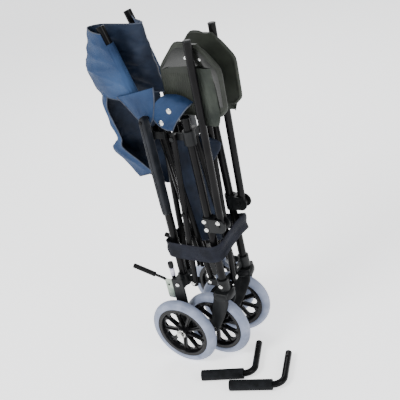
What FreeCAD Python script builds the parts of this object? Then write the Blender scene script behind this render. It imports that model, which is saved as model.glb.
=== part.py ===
import FreeCAD, Part
import math
import os
import Sketcher
from FreeCAD import Placement, Rotation, Vector

# Folding transport wheelchair, folded both ways and standing on its four wheels.
# +X is forward, +Y is the sitter's left, +Z is up. The rear posts stand at x = 0 and the
# mid-plane is y = 0 while the pieces are made; at the end everything moves together so that
# the origin is under the middle of the bounding box.

doc = FreeCAD.newDocument("TransportWheelchair")

# ---- driving dimensions, millimetres and degrees ------------------------------------------
sheet = doc.addObject("Spreadsheet::Sheet", "dims")
sizes = [
    ("wheel_radius", 101.5), ("tyre_width", 30), ("rim_radius", 80), ("rim_width", 26),
    ("hub_radius", 15), ("hub_length", 34), ("axle_radius", 6), ("run_gap", 0.05), ("soft_gap", 0.3),
    ("spoke_count", 9), ("web_thick", 7),
    ("frame_half", 60), ("leg_spacing", 128), ("post_radius", 11), ("tube_wall", 1.5),
    ("bar_length", 450), ("bar_radius", 8), ("fold_gap", 43), ("bar_offset", 10),
    ("pin_radius", 3), ("lug_thick", 3.4), ("lug_height", 20),
    ("pivot_height", 245), ("hub_height", 34), ("collar_wall", 5), ("collar_height", 38),
    ("post_top", 985), ("post_bend", 765), ("post_lean", 16), ("leg_top", 745),
    ("rear_track", 118), ("axle_plate_width", 36), ("axle_plate_thick", 5), ("axle_plate_gap", 8),
    ("nut_radius", 10), ("nut_height", 7), ("head_height", 3), ("caster_trail", 50),
    ("fork_wall", 5), ("fork_gap", 4), ("crown_height", 18), ("axle_head", 9),
    ("stem_length", 70), ("left_caster_turn", 15),
    ("bracket_height", 440), ("bracket_clamp", 44), ("bracket_ear", 20), ("bracket_wall", 3),
    ("hanger_offset", 36), ("hanger_radius", 10), ("hanger_length", 505), ("hanger_lean", 2),
    ("hanger_pin", 4), ("plate_gap", 8), ("plate_shift", -20),
    ("plate_depth", 164), ("plate_length", 182), ("plate_thick", 9), ("plate_bevel", 52),
    ("plate_bevel_rise", 62), ("plate_corner", 18),
    ("plate_drop", 20), ("brake_height", 222), ("brake_arm", 62), ("brake_grip_length", 70),
    ("brake_plate_width", 32), ("brake_plate_height", 62), ("brake_plate_thick", 3),
    ("seat_rail_length", 380), ("rail_radius", 8), ("rail_inset", 31),
    ("arm_length", 285), ("arm_width", 32), ("arm_thick", 18), ("arm_pivot_height", 752),
    ("arm_pin", 4), ("arm_pin_offset", 18), ("arm_lane_gap", 4.5),
    ("sleeve_height", 172), ("sleeve_wall", 2), ("sleeve_base", 795), ("panel_thick", 12),
    ("sling_depth", 58), ("sling_gap", 1.5),
    ("strap_height", 60), ("strap_thick", 2), ("strap_base", 322),
    ("grip_radius", 15), ("grip_length", 118), ("handle_leg", 100), ("handle_bend", 30),
]
for row, (alias, value) in enumerate(sizes, 1):
    sheet.set("A%d" % row, alias)
    sheet.set("B%d" % row, str(value))
    sheet.setAlias("B%d" % row, alias)
doc.recompute()
d = {alias: float(getattr(sheet, alias)) for alias, value in sizes}

# ---- places worked out from the dimensions ------------------------------------------------
X, Y, Z = Vector(1, 0, 0), Vector(0, 1, 0), Vector(0, 0, 1)
fold_angle = math.asin(d["fold_gap"] / d["bar_length"])
rise = d["bar_length"] * math.cos(fold_angle)
low_z = d["pivot_height"]
top_z = low_z + rise
front_x = d["leg_spacing"]
side_inset = (front_x - d["fold_gap"]) / 2
rear_pin_x = side_inset
front_pin_x = front_x - side_inset
half_gap = d["fold_gap"] / 2
hanger_x = front_x + d["hanger_offset"]
caster_axle_x = front_x - d["caster_trail"]
wheel_z = d["wheel_radius"]
sides = {"right": -1, "left": 1}
nodes = []


def node(obj, name):
    """Label a finished object as one sub-part."""
    obj.Label = name
    nodes.append(obj)
    return obj


def bind(obj, **cells):
    """Tie properties of an object to expressions on the sheet."""
    for prop, expression in cells.items():
        obj.setExpression(prop, expression)
    return obj


def placed(obj, base, axis=Z):
    obj.Placement = Placement(base, Rotation(Z, axis))
    return obj


def rod(radius, length, base, axis=Z):
    """A parametric cylinder: radius and length are sheet expressions, base is its low end."""
    obj = doc.addObject("Part::Cylinder", "rod")
    bind(obj, Radius=radius, Height=length)
    return placed(obj, base, axis)


def block(length, width, height, corner):
    obj = doc.addObject("Part::Box", "block")
    bind(obj, Length=length, Width=width, Height=height)
    return placed(obj, corner)


def fuse(*objects):
    obj = doc.addObject("Part::MultiFuse", "fuse")
    obj.Shapes = list(objects)
    return obj


def cut(base, *tools):
    obj = doc.addObject("Part::Cut", "cut")
    obj.Base = base
    obj.Tool = tools[0] if len(tools) == 1 else fuse(*tools)
    return obj


def group(*objects):
    """Separate solids kept together as one sub-part."""
    obj = doc.addObject("Part::Compound", "group")
    obj.Links = list(objects)
    return obj


def solid(shape, name="shape"):
    obj = doc.addObject("Part::Feature", name)
    obj.Shape = shape
    return obj


def ring(outer, inner, length, base, axis=Z):
    return cut(rod(outer, length, base, axis), rod(inner, length, base, axis))


def path_wire(points, radius):
    """Straight runs joined by arcs of one radius."""
    edges, start = [], points[0]
    for before, corner, after in zip(points, points[1:], points[2:]):
        a, b = (before - corner).normalize(), (after - corner).normalize()
        half = a.getAngle(b) / 2
        reach = radius / math.tan(half)
        p, q = corner + a * reach, corner + b * reach
        middle = corner + (a + b).normalize() * (radius / math.sin(half) - radius)
        edges += [Part.LineSegment(start, p).toShape(), Part.Arc(p, middle, q).toShape()]
        start = q
    edges.append(Part.LineSegment(start, points[-1]).toShape())
    return Part.Wire(edges)


def bent_tube(points, bend, outer, inner=0.0):
    """A round tube swept along bent runs, hollow where an inner radius is given."""
    wire = path_wire(points, bend)
    start, run = points[0], points[1] - points[0]

    def swept(radius):
        profile = Part.Wire(Part.Circle(start, run, radius).toShape())
        return wire.makePipeShell([profile], True, False)

    body = swept(outer)
    return body.cut(swept(inner)) if inner else body


# ---- rear posts: lower leg and back cane in one tube, leaning back at the top -------------
bore = d["post_radius"] - d["tube_wall"]
lean = math.radians(d["post_lean"])
post_foot = low_z - d["hub_height"] / 2
post_dir = Vector(-math.sin(lean), 0, math.cos(lean))
cane_length = (d["post_top"] - d["post_bend"]) / math.cos(lean)
post_head = Vector(0, 0, d["post_bend"]) + post_dir * cane_length
arm_lane = d["frame_half"] + d["bar_offset"] + d["bar_radius"] + d["arm_lane_gap"]
arm_pin_x = d["post_radius"] + d["arm_pin_offset"]


def post_shape(s):
    """One bent tube with a welded ear and pin for the armrest."""
    y = s * d["frame_half"]
    at = Vector(0, y, 0)
    bend_at = Vector(0, 0, d["post_bend"]) + at
    run = [Vector(0, 0, post_foot) + at, bend_at, post_head + at]
    tube = bent_tube(run, 60, d["post_radius"], bore)
    ear = Part.makeBox(arm_pin_x + 9, 4, 16, Vector(0, y - 2, d["arm_pivot_height"] - 8))
    pin_length = arm_lane + d["arm_width"] + 1 - d["frame_half"]
    pin = Part.makeCylinder(d["arm_pin"], pin_length, Vector(arm_pin_x, y, d["arm_pivot_height"]), Y * s)
    core = bent_tube(run, 60, d["post_radius"] - d["tube_wall"] / 2)
    return tube.fuse([ear.fuse(pin).cut(core)]).removeSplitter()


for side, s in sides.items():
    node(solid(post_shape(s)), "rear_post_" + side)

# ---- front legs: straight tubes that take the caster stem below ----------------------------
for side, s in sides.items():
    base = Vector(front_x, s * d["frame_half"], post_foot)
    length = "dims.leg_top - dims.pivot_height + dims.hub_height / 2"
    tube = ring("dims.post_radius", "dims.post_radius - dims.tube_wall", length, base)
    node(tube, "front_leg_" + side)


def pivot_collar(x, s, z, height, inner, reach_x, extra=()):
    """A collar round an upright with one lug for the side bar and one for the cross bar.

    reach_x is the signed distance from the upright to the side bar's pin.
    """
    y = s * d["frame_half"]
    base = Vector(x, y, z - d[height] / 2)
    outer = "dims.post_radius + dims.collar_wall"
    body = rod(outer, "dims." + height, base)
    side_inset = "(dims.leg_spacing - dims.fold_gap) / 2"
    lug_end = abs(reach_x) + d["lug_height"] / 2
    low_x = x if reach_x > 0 else x - lug_end
    side_lug = block(side_inset + " + dims.lug_height / 2", "dims.lug_thick", "dims.lug_height",
                     Vector(low_x, y - d["lug_thick"] / 2, z - d["lug_height"] / 2))
    cross_reach = d["frame_half"] - half_gap + d["lug_height"] / 2
    low_y = y if s < 0 else y - cross_reach
    cross_long = "dims.frame_half - dims.fold_gap / 2 + dims.lug_height / 2"
    cross_lug = block("dims.lug_thick", cross_long, "dims.lug_height",
                      Vector(x - d["lug_thick"] / 2, low_y, z - d["lug_height"] / 2))
    holes = [rod(inner, "dims." + height, base),
             rod("dims.pin_radius", "dims.lug_height * 2",
                 Vector(x + reach_x, y - d["lug_height"], z), Y),
             rod("dims.pin_radius", "dims.lug_height * 2",
                 Vector(x - d["lug_height"], s * half_gap, z), X)]
    return cut(fuse(body, side_lug, cross_lug, *extra), *holes)


def pivot_pins(x, s, z, reach_x, side_plane, cross_plane):
    """Two headed bolts: one through a side bar and its lug, one through a cross bar and its lug.

    side_plane and cross_plane are +1 or -1: which way the bar lies from the lug.
    """
    reach = d["bar_offset"] + d["bar_radius"]
    back = d["lug_thick"] / 2
    pins = []
    for centre, way in ((Vector(x + reach_x, s * d["frame_half"], z), Y * (s * side_plane)),
                        (Vector(x, s * half_gap, z), X * cross_plane)):
        start = centre - way * back
        shank = "dims.lug_thick / 2 + dims.bar_offset + dims.bar_radius + dims.head_height"
        pins.append(fuse(
            rod("dims.pin_radius", shank, start, way),
            rod("dims.pin_radius * 2", "dims.head_height",
                centre + way * (reach + d["soft_gap"]), way)))
    return pins


# ---- hubs at the foot of each upright, and the sliding collars at the top pivots -----------
# Side bar B (foot at the front) lies inboard of the lugs, side bar A (foot at the rear) lies
# outboard. Cross bars C and E lean up to the left, D and F up to the right.
axle_plate_y = d["rear_track"] - d["tyre_width"] / 2 - d["axle_plate_gap"]
axle_plate_at = "(dims.rear_track - dims.tyre_width / 2 - dims.axle_plate_gap)"
plate_half = d["axle_plate_thick"] / 2
for side, s in sides.items():
    y = s * d["frame_half"]
    plate_low = block("dims.axle_plate_width", "dims.axle_plate_thick",
                      "dims.pivot_height + dims.hub_height / 2 - dims.wheel_radius",
                      Vector(-d["axle_plate_width"] / 2, s * axle_plate_y - plate_half, wheel_z))
    plate_end = rod("dims.axle_plate_width / 2", "dims.axle_plate_thick",
                    Vector(0, s * axle_plate_y - plate_half, wheel_z), Y)
    bridge_y = d["post_radius"] + 2
    bridge = block("2 * dims.post_radius",
                   axle_plate_at + " - dims.frame_half - dims.post_radius - 2",
                   "dims.hub_height", Vector(-d["post_radius"],
                                             min(y + s * bridge_y, s * axle_plate_y), post_foot))
    hub = pivot_collar(0, s, low_z, "hub_height", "dims.post_radius", rear_pin_x,
                       (plate_low, plate_end, bridge))
    axle_hole = rod("dims.axle_radius", "20", Vector(0, s * axle_plate_y - 10, wheel_z), Y)
    node(cut(hub, axle_hole), "rear_hub_" + side)
    pins = pivot_pins(0, s, low_z, rear_pin_x, 1, 1 if s > 0 else -1)
    out = Y * s
    axle_long = "dims.rear_track + dims.hub_length / 2 + dims.nut_height + 2 - " + axle_plate_at
    axle = rod("dims.axle_radius", axle_long, Vector(0, s * (axle_plate_y - 3), wheel_z), out)
    nut = rod("dims.nut_radius", "dims.nut_height",
              Vector(0, s * (d["rear_track"] + d["hub_length"] / 2 + 0.5), wheel_z), out)
    node(group(*pins, fuse(axle, nut)), "rear_bolts_" + side)

    node(pivot_collar(front_x, s, low_z, "hub_height", "dims.post_radius", -rear_pin_x),
         "front_hub_" + side)
    node(group(*pivot_pins(front_x, s, low_z, -rear_pin_x, -1, 1 if s < 0 else -1)),
         "front_bolts_" + side)

    slide_bore = "dims.post_radius + dims.run_gap"
    rear = pivot_collar(0, s, top_z, "collar_height", slide_bore, rear_pin_x)
    node(group(rear, *pivot_pins(0, s, top_z, rear_pin_x, -1, 1 if s < 0 else -1)),
         "rear_slider_" + side)
    front = pivot_collar(front_x, s, top_z, "collar_height", slide_bore, -rear_pin_x)
    node(group(front, *pivot_pins(front_x, s, top_z, -rear_pin_x, 1, 1 if s > 0 else -1)),
         "front_slider_" + side)


# ---- crossing bars: eight tubes of one length, bored at both ends and at the middle --------
def bar(foot, head, pin_axis, name, rivet=None):
    """A bar whose pin holes are bar_length apart, with a middle rivet if it has one."""
    along = (head - foot).normalize()
    end = d["bar_radius"] + 3
    tube = rod("dims.bar_radius", "dims.bar_length + 2 * (dims.bar_radius + 3)",
               foot - along * end, along)
    reach = pin_axis * (d["bar_radius"] * 2)
    pin_hole = "dims.pin_radius + dims.run_gap"
    holes = [rod(pin_hole, "dims.bar_radius * 4", p - reach, pin_axis) for p in (foot, head)]
    middle = (foot + head) / 2
    if rivet is None:
        holes.append(rod(pin_hole, "dims.bar_radius * 4", middle - reach, pin_axis))
        return node(cut(tube, *holes), name)
    length = "2 * dims.bar_offset + 2 * dims.bar_radius + 2"
    start = middle - rivet * (d["bar_radius"])
    shank = rod("dims.pin_radius", length, start, rivet)
    cap = rod("dims.pin_radius * 2", "dims.head_height",
              middle + rivet * (2 * d["bar_offset"] + d["bar_radius"] + d["soft_gap"]), rivet)
    return node(fuse(cut(tube, *holes), shank, cap), name)


for side, s in sides.items():
    inner = Vector(0, s * (d["frame_half"] - d["bar_offset"]), 0)
    outer = Vector(0, s * (d["frame_half"] + d["bar_offset"]), 0)
    bar(Vector(rear_pin_x, 0, low_z) + outer, Vector(front_pin_x, 0, top_z) + outer, Y,
        "side_bar_a_" + side)
    bar(Vector(front_pin_x, 0, low_z) + inner, Vector(rear_pin_x, 0, top_z) + inner, Y,
        "side_bar_b_" + side, Y * s)
for end, x, plane in (("front", front_x, 1), ("back", 0, -1)):
    near = Vector(x + plane * d["bar_offset"], 0, 0)
    far = Vector(x - plane * d["bar_offset"], 0, 0)
    low_right, low_left = Vector(0, -half_gap, low_z), Vector(0, half_gap, low_z)
    high_right, high_left = Vector(0, -half_gap, top_z), Vector(0, half_gap, top_z)
    bar(low_right + near, high_left + near, X, end + "_bar_up_left", X * -plane)
    bar(low_left + far, high_right + far, X, end + "_bar_up_right")


# ---- wheels: moulded rim with ribs and drop-shaped windows, solid tyre on its seat --------
def revolved(outline, name):
    """A PartDesign revolution about the wheel's axle from (radius, across) points."""
    body = doc.addObject("PartDesign::Body", name)
    plane = next(f for f in body.Origin.OriginFeatures if f.Role == "XY_Plane")
    sketch = body.newObject("Sketcher::SketchObject", name + "_outline")
    sketch.AttachmentSupport = (plane, [""])
    sketch.MapMode = "FlatFace"
    corners = [Vector(r, a, 0) for r, a in outline]
    for start, stop in zip(corners, corners[1:] + corners[:1]):
        sketch.addGeometry(Part.LineSegment(start, stop), False)
    count = len(corners)
    for i in range(count):
        sketch.addConstraint(Sketcher.Constraint("Coincident", i, 2, (i + 1) % count, 1))
    turn = body.newObject("PartDesign::Revolution", name + "_turn")
    turn.Profile = sketch
    turn.ReferenceAxis = (sketch, ["V_Axis"])
    turn.Angle = 360
    body.Tip = turn
    return body, plane, turn


def rim_body(name):
    half_w, half_hub, web = d["rim_width"] / 2, d["hub_length"] / 2, d["web_thick"] / 2
    r = d["rim_radius"]
    well = r - 9
    outline = [(d["axle_radius"] + d["run_gap"], -half_hub), (d["hub_radius"], -half_hub),
               (d["hub_radius"] + 3, -web), (well - 4, -web), (well, -half_w), (r, -half_w),
               (r, half_w), (well, half_w), (well - 4, web), (d["hub_radius"] + 3, web),
               (d["hub_radius"], half_hub), (d["axle_radius"] + d["run_gap"], half_hub)]
    body, plane, turn = revolved(outline, name)
    doc.recompute()
    # one window between two ribs: an arc near the rim narrowing to a small arc at the hub
    front = next(f for f in body.Origin.OriginFeatures if f.Role == "XZ_Plane")
    window = body.newObject("Sketcher::SketchObject", name + "_window")
    window.AttachmentSupport = (front, [""])
    window.MapMode = "FlatFace"
    pitch = math.pi / d["spoke_count"]
    wide_r, narrow_r = well - 18, d["hub_radius"] + 12
    wide, narrow = wide_r * math.sin(pitch) * 0.72, narrow_r * math.sin(pitch) * 0.5
    a, b = Vector(wide_r, -wide, 0), Vector(wide_r, wide, 0)
    c, e = Vector(narrow_r, narrow, 0), Vector(narrow_r, -narrow, 0)
    window.addGeometry(Part.Arc(a, Vector(wide_r + wide * 0.8, 0, 0), b), False)
    window.addGeometry(Part.LineSegment(b, c), False)
    window.addGeometry(Part.Arc(c, Vector(narrow_r - narrow, 0, 0), e), False)
    window.addGeometry(Part.LineSegment(e, a), False)
    hole = body.newObject("PartDesign::Pocket", name + "_pocket")
    hole.Profile = window
    hole.Type = "Length"
    hole.Length = d["rim_width"] * 2
    hole.Midplane = True
    holes = body.newObject("PartDesign::PolarPattern", name + "_windows")
    holes.Originals = [hole]
    holes.Axis = (window, ["N_Axis"])
    holes.Angle = 360
    holes.setExpression("Occurrences", "dims.spoke_count")
    body.Tip = holes
    return body


def tyre_body(name):
    half, crown = d["tyre_width"] / 2, d["wheel_radius"]
    seat = d["rim_radius"]
    shoulder = half * 0.36
    outline = [(seat, -d["rim_width"] / 2), (seat + 4, -half), (crown - 9, -half),
               (crown - 2.5, -half + shoulder), (crown, -half + 2 * shoulder),
               (crown, half - 2 * shoulder), (crown - 2.5, half - shoulder),
               (crown - 9, half), (seat + 4, half), (seat, d["rim_width"] / 2)]
    return revolved(outline, name)[0]


def caster_frame(side, s):
    """The swivel's placement: pieces are made with the wheel straight, then turned."""
    turn = d["left_caster_turn"] if s > 0 else 0
    return Placement(Vector(0, 0, 0), Rotation(Z, turn), Vector(front_x, s * d["frame_half"], 0))


for side, s in sides.items():
    rear_at = Placement(Vector(0, s * d["rear_track"], wheel_z), Rotation())
    front_at = caster_frame(side, s) * Placement(
        Vector(caster_axle_x, s * d["frame_half"], wheel_z), Rotation())
    for kind, at in (("rear", rear_at), ("caster", front_at)):
        for make, piece in ((rim_body, "rim"), (tyre_body, "tyre")):
            wheel = make("%s_%s_%s_body" % (kind, piece, side))
            wheel.Placement = at
            node(wheel, "%s_%s_%s" % (kind, piece, side))


# ---- caster forks: stem, crown and two swept arms ------------------------------------------
def fork_shape(y):
    half_in = d["tyre_width"] / 2 + d["fork_gap"]
    crown_top = post_foot - 2
    crown_low = crown_top - d["crown_height"]
    width = 2 * (half_in + d["fork_wall"])
    crown_back, crown_front = front_x - 26, front_x + 18
    crown = Part.makeBox(crown_front - crown_back, width, d["crown_height"],
                         Vector(crown_back, y - width / 2, crown_low))
    upright = [e for e in crown.Edges if abs(e.tangentAt(e.FirstParameter).z) > 0.9]
    crown = crown.makeFillet(5, upright)
    outline = [Vector(crown_front, 0, crown_top - 4), Vector(crown_front - 4, 0, crown_low - 16),
               Vector(caster_axle_x + 11, 0, wheel_z - 7),
               Vector(caster_axle_x - 11, 0, wheel_z - 3),
               Vector(crown_back, 0, crown_low + 4), Vector(crown_back, 0, crown_top - 4)]
    shape = crown
    for way in (-1, 1):
        low = y + way * half_in if way > 0 else y - half_in - d["fork_wall"]
        face = Part.Face(Part.makePolygon([p + Y * low for p in outline + outline[:1]]))
        arm = face.extrude(Y * d["fork_wall"])
        boss = Part.makeCylinder(13, d["fork_wall"], Vector(caster_axle_x, low, wheel_z), Y)
        shape = shape.fuse([arm, boss])
    stem = Part.makeCylinder(bore - d["run_gap"], d["stem_length"] + 2,
                             Vector(front_x, y, crown_top))
    shape = shape.fuse(stem)
    hole = Part.makeCylinder(d["axle_radius"], width + 10,
                             Vector(caster_axle_x, y - width / 2 - 5, wheel_z), Y)
    return shape.cut(hole).removeSplitter()


for side, s in sides.items():
    y = s * d["frame_half"]
    fork = solid(fork_shape(y))
    fork.Placement = caster_frame(side, s)
    node(fork, "caster_fork_" + side)
    reach = d["tyre_width"] / 2 + d["fork_gap"] + d["fork_wall"]
    shaft = rod("dims.axle_radius", "dims.tyre_width + 2 * (dims.fork_gap + dims.fork_wall + 4)",
                Vector(caster_axle_x, y - reach - 4, wheel_z), Y)
    ends = [rod("dims.axle_head", "4", Vector(caster_axle_x, y + way * (reach + 0.2), wheel_z),
                Y * way) for way in (-1, 1)]
    axle = fuse(shaft, *ends)
    axle.Placement = caster_frame(side, s)
    node(axle, "caster_axle_" + side)


# ---- brakes: a pressed plate on the axle plate and a push-to-lock lever with a rubber grip -
pivot_x, pivot_z = -34, d["brake_height"] + 16
for side, s in sides.items():
    thick = d["brake_plate_thick"]
    inner_y = s * (axle_plate_y - plate_half)
    low_y = inner_y if s < 0 else inner_y - thick
    plate = Part.makeBox(d["brake_plate_width"], thick, d["brake_plate_height"],
                         Vector(pivot_x - 10, low_y, pivot_z - 44))
    across = [e for e in plate.Edges if abs(e.tangentAt(e.FirstParameter).y) > 0.9]
    plate = plate.makeFillet(6, across)
    pivot = Part.makeCylinder(d["pin_radius"], 30, Vector(pivot_x, low_y - 15, pivot_z), Y)
    node(solid(plate.cut(pivot)), "brake_plate_" + side)
    lane = inner_y - s * (thick + d["soft_gap"] + 4)
    pin_at = Vector(pivot_x, lane, pivot_z)
    knee = pin_at + Vector(-18, 0, 14)
    tail = knee + Vector(-d["brake_arm"], 0, 18)
    eye = Part.makeCylinder(8, 8, pin_at - Y * 4, Y)
    arm = bent_tube([pin_at, knee, tail], 8, 4)
    stub = Part.makeCylinder(d["pin_radius"] - d["run_gap"], thick + 5, pin_at, Y * s)
    node(solid(eye.fuse([arm, stub]).removeSplitter()), "brake_lever_" + side)
    along = (tail - knee).normalize()
    start = tail - along * (d["brake_arm"] * 0.55)
    sleeve = Part.makeCylinder(7, d["brake_grip_length"], start, along)
    core = Part.makeCylinder(4, (tail - start).Length, start, along)
    node(solid(sleeve.cut(core)), "brake_grip_" + side)


# ---- footrests: bracket on the front leg, hanger tube on its pivot, and a footplate --------
def bracket_shape(y):
    z, wall, ear_radius = d["bracket_height"], d["bracket_wall"], d["bracket_ear"]
    height = d["bracket_clamp"]
    clamp = Part.makeCylinder(d["post_radius"] + 4, height, Vector(front_x, y, z - height / 2))
    cheek_in = d["hanger_radius"] + 1
    web = Part.makeBox(d["hanger_offset"] - cheek_in, 2 * (cheek_in + wall), 2 * ear_radius,
                       Vector(front_x, y - cheek_in - wall, z - ear_radius))
    shape = clamp.fuse(web)
    for way in (-1, 1):
        low = y + (cheek_in if way > 0 else -cheek_in - wall)
        ear = Part.makeBox(d["hanger_offset"], wall, 2 * ear_radius,
                           Vector(front_x, low, z - ear_radius))
        lobe = Part.makeCylinder(ear_radius, wall, Vector(hanger_x, low, z), Y)
        shape = shape.fuse([ear, lobe])
    pin = Part.makeCylinder(d["hanger_pin"], 2 * (cheek_in + 2 * wall),
                            Vector(hanger_x, y - cheek_in - 2 * wall, z), Y)
    leg = Part.makeCylinder(d["post_radius"], height + 16, Vector(front_x, y, z - height / 2 - 8))
    room = Part.makeCylinder(d["hanger_offset"] - d["post_radius"] - 6, 2 * cheek_in,
                             Vector(hanger_x, y - cheek_in, z), Y)
    return shape.cut(leg).cut(room).fuse(pin).removeSplitter()


plate_hinge_z = d["bracket_height"] + d["hanger_length"] - d["plate_drop"]
hanger_tilt = Placement(Vector(), Rotation(Y, d["hanger_lean"]),
                        Vector(hanger_x, 0, d["bracket_height"]))
plate_gap = d["plate_gap"]
plate_y = d["frame_half"] - d["hanger_radius"] - plate_gap - d["plate_thick"]
for side, s in sides.items():
    y = s * d["frame_half"]
    node(solid(bracket_shape(y)), "footrest_bracket_" + side)
    foot = Vector(hanger_x, y, d["bracket_height"])
    eye_height = d["pin_radius"] + 3
    tube = ring("dims.hanger_radius", "dims.hanger_radius - dims.tube_wall",
                "dims.hanger_length - dims.pin_radius - 3", foot + Z * eye_height)
    eye_half = d["hanger_radius"] - 1
    eye = rod("dims.hanger_radius + 3", "2 * dims.hanger_radius - 2", foot - Y * eye_half, Y)
    knuckle = rod("dims.plate_thick / 2", "dims.plate_gap - 1",
                  Vector(hanger_x, s * (plate_y + d["plate_thick"] + 3), plate_hinge_z), Y * s)
    pin_hole = rod("dims.hanger_pin + dims.run_gap", "6 * dims.hanger_radius",
                   foot - Y * (3 * d["hanger_radius"]), Y)
    hanger = cut(fuse(tube, eye, knuckle), pin_hole)
    hanger.Placement = hanger_tilt
    node(hanger, "footrest_hanger_" + side)
    half_depth = d["plate_depth"] / 2
    high_z_plate = plate_hinge_z + d["plate_thick"] / 2
    low_z_plate = high_z_plate - d["plate_length"]
    bevel, bevel_rise, corner = d["plate_bevel"], d["plate_bevel_rise"], d["plate_corner"]
    rear_edge, front_edge = d["plate_shift"] - half_depth, d["plate_shift"] + half_depth
    outline = [(rear_edge, low_z_plate + corner), (rear_edge + corner, low_z_plate),
               (front_edge - corner, low_z_plate), (front_edge, low_z_plate + corner),
               (front_edge, high_z_plate - bevel_rise), (front_edge - bevel, high_z_plate),
               (rear_edge + bevel, high_z_plate), (rear_edge, high_z_plate - bevel_rise)]
    inner_face = s * plate_y if s > 0 else -plate_y - d["plate_thick"]
    wire = Part.makePolygon([Vector(hanger_x + along, inner_face, up)
                             for along, up in outline + outline[:1]])
    footplate = solid(Part.Face(wire).extrude(Y * d["plate_thick"]))
    footplate.Placement = hanger_tilt
    node(footplate, "footplate_" + side)

# ---- seat rails hanging down from the rear collars -----------------------------------------
for side, s in sides.items():
    y = s * (d["frame_half"] - d["rail_inset"])
    head = Vector(rear_pin_x, y, top_z)
    rail = rod("dims.rail_radius", "dims.seat_rail_length", head - Z * d["seat_rail_length"])
    node(rail, "seat_rail_" + side)

# ---- armrests: padded boards hung from the rear posts, folded down beside the frame --------
for side, s in sides.items():
    low_y = arm_lane if s > 0 else -arm_lane - d["arm_width"]
    board = block("dims.arm_thick", "dims.arm_width", "dims.arm_length",
                  Vector(arm_pin_x - d["arm_thick"] / 2, low_y,
                         d["arm_pivot_height"] - d["arm_length"] + 12))
    pivot_at = Vector(arm_pin_x, 0, d["arm_pivot_height"])
    hole_start = arm_lane + d["arm_width"] + 5
    lane = "dims.frame_half + dims.bar_offset + dims.bar_radius + dims.arm_lane_gap"
    hole = rod("dims.arm_pin + dims.run_gap", "2 * (" + lane + " + dims.arm_width + 5)",
               pivot_at - Y * hole_start, Y)
    node(cut(board, hole), "armrest_" + side)

# ---- fabric, as plain closed solids: seat sling, back panel and its left sleeve, strap -----
sling_half = d["frame_half"] - d["rail_inset"] - d["rail_radius"] - d["sling_gap"]
sling_across = "2 * (dims.frame_half - dims.rail_inset - dims.rail_radius - dims.sling_gap)"
node(block("dims.sling_depth", sling_across, "dims.seat_rail_length - 40",
           Vector(d["bar_radius"] + d["bar_offset"] + 14, -sling_half,
                  top_z - d["seat_rail_length"] + 20)), "seat_sling")


def on_cane(distance):
    return Vector(0, 0, d["post_bend"]) + post_dir * distance


cane_rot = Rotation(Z, post_dir)
sleeve_at = (d["sleeve_base"] - d["post_bend"]) / math.cos(lean) + 12


def sleeve_shape(s):
    inner = d["post_radius"] + d["soft_gap"]
    at = on_cane(sleeve_at) + Y * (s * d["frame_half"])
    return Part.makeCylinder(inner + d["sleeve_wall"], d["sleeve_height"] - 12, at, post_dir).cut(
        Part.makeCylinder(inner, d["sleeve_height"] - 12, at, post_dir))


reach = d["frame_half"] - d["post_radius"] - d["sleeve_wall"] - d["soft_gap"] - 1
panel = Part.makeBox(d["panel_thick"], 2 * reach, d["sleeve_height"] - 12,
                     Vector(-d["panel_thick"] / 2, -reach, 0))
panel.Placement = Placement(on_cane(sleeve_at), cane_rot) * panel.Placement
node(solid(Part.makeCompound([sleeve_shape(-1), panel])), "back_upholstery")
node(solid(sleeve_shape(1)), "back_sleeve_left")


def strap_shape():
    """A flat band round the bundle, a rounded rectangle in plan."""
    grow = d["post_radius"] + 8
    x0, x1 = -grow, hanger_x + 6
    y1 = d["frame_half"] + d["bar_offset"] + d["bar_radius"] + 4

    def loop(out):
        box = Part.makeBox(x1 - x0 + 2 * out, 2 * (y1 + out), d["strap_height"],
                           Vector(x0 - out, -y1 - out, d["strap_base"]))
        upright = [e for e in box.Edges if abs(e.tangentAt(e.FirstParameter).z) > 0.9]
        return box.makeFillet(14 + out, upright)

    return loop(d["strap_thick"]).cut(loop(0))


node(solid(strap_shape()), "bundle_strap")


# ---- push handles: bent tube with a foam grip, lying on the floor --------------------------
def push_handle(name, start, turn):
    """start is the free end of the grip and turn is the grip's direction in plan, degrees."""
    z = d["grip_radius"]
    along = Vector(math.cos(math.radians(turn)), math.sin(math.radians(turn)), 0)
    across = Vector(-along.y, along.x, 0)
    begin = Vector(start[0], start[1], z)
    corner = begin + along * (d["grip_length"] + d["handle_bend"])
    end = corner + across * (d["handle_leg"] + d["handle_bend"])
    plug = bore - 0.1
    tube = bent_tube([begin, corner, end], d["handle_bend"], plug, plug - d["tube_wall"])
    button_at = end - across * 22 + Z * (plug - 1)
    button = Part.makeCylinder(3, 4, button_at, Z)
    node(solid(tube.fuse(button)), name + "_tube")
    foam = Part.makeCylinder(d["grip_radius"], d["grip_length"], begin, along)
    hollow = Part.makeCylinder(plug, d["grip_length"] - 6, begin + along * 6, along)
    node(solid(foam.cut(hollow).cut(tube)), name + "_grip")


push_handle("push_handle_right", (80, -190), 21)
push_handle("push_handle_left", (176, -203), 19)

# ---- check everything, stand it on the origin and write one file per sub-part -------------
doc.recompute()
whole = FreeCAD.BoundBox()
for obj in nodes:
    whole.add(obj.Shape.BoundBox)
shift = Vector(-whole.Center.x, -whole.Center.y, -whole.ZMin)
for obj in nodes:
    obj.Placement = Placement(shift, Rotation()) * obj.Placement
doc.recompute()
for obj in doc.Objects:
    if "Invalid" in obj.State or "Error" in obj.State:
        raise SystemExit("failed object: " + obj.Label)
os.makedirs("parts", exist_ok=True)
for obj in nodes:
    if obj.Shape.isNull() or not obj.Shape.isValid():
        raise SystemExit("bad shape: " + obj.Label)
    obj.Shape.exportStep("parts/%s.step" % obj.Label)
print(len(nodes), "sub-parts", [round(v, 1) for v in (whole.XLength, whole.YLength, whole.ZLength)])
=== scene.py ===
import math
import bpy
import numpy as np
from mathutils import Matrix, Vector


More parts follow.
